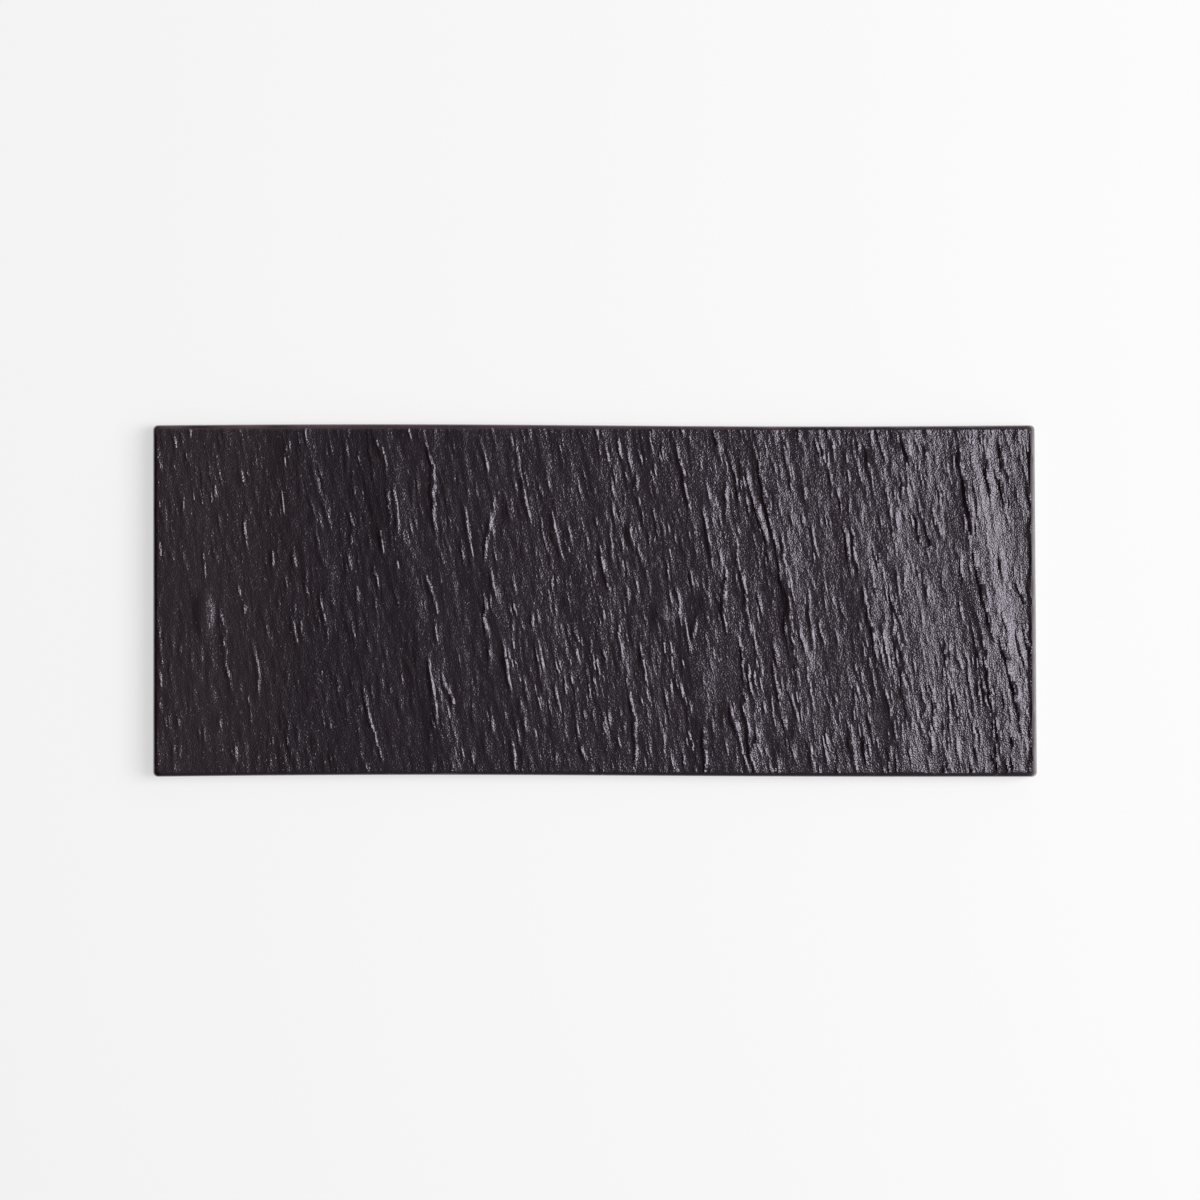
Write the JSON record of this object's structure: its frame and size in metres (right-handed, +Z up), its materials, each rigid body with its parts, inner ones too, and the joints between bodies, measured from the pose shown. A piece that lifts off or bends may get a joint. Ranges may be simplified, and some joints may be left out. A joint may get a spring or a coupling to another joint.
{
  "type": "rectangular serving plate",
  "caption": "Long rectangular stoneware slab plate with a riven, slate-like dark glazed top, a bare flat base and recessed rubber feet to stand on, for serving food.",
  "frame": {"origin": "on the table, under the middle of the plate", "axes": "+X along the plate to the picture's right, +Y across it towards the picture's top, +Z up out of the riven face"},
  "size_m": [0.3, 0.1198, 0.0099],
  "materials": {
    "bare_stoneware": "matte",
    "black_glaze": "satin",
    "foot_rubber": "matte",
    "adhesive": "matte"
  },
  "bodies": {
    "root": {"plate_body": "bare_stoneware", "glaze_coat": "black_glaze", "rubber_foot_front_left": "foot_rubber", "rubber_foot_front_right": "foot_rubber", "rubber_foot_back_left": "foot_rubber", "rubber_foot_back_right": "foot_rubber", "adhesive_disc_front_left": "adhesive", "adhesive_disc_front_right": "adhesive", "adhesive_disc_back_left": "adhesive", "adhesive_disc_back_right": "adhesive"}
  },
  "joints": []
}
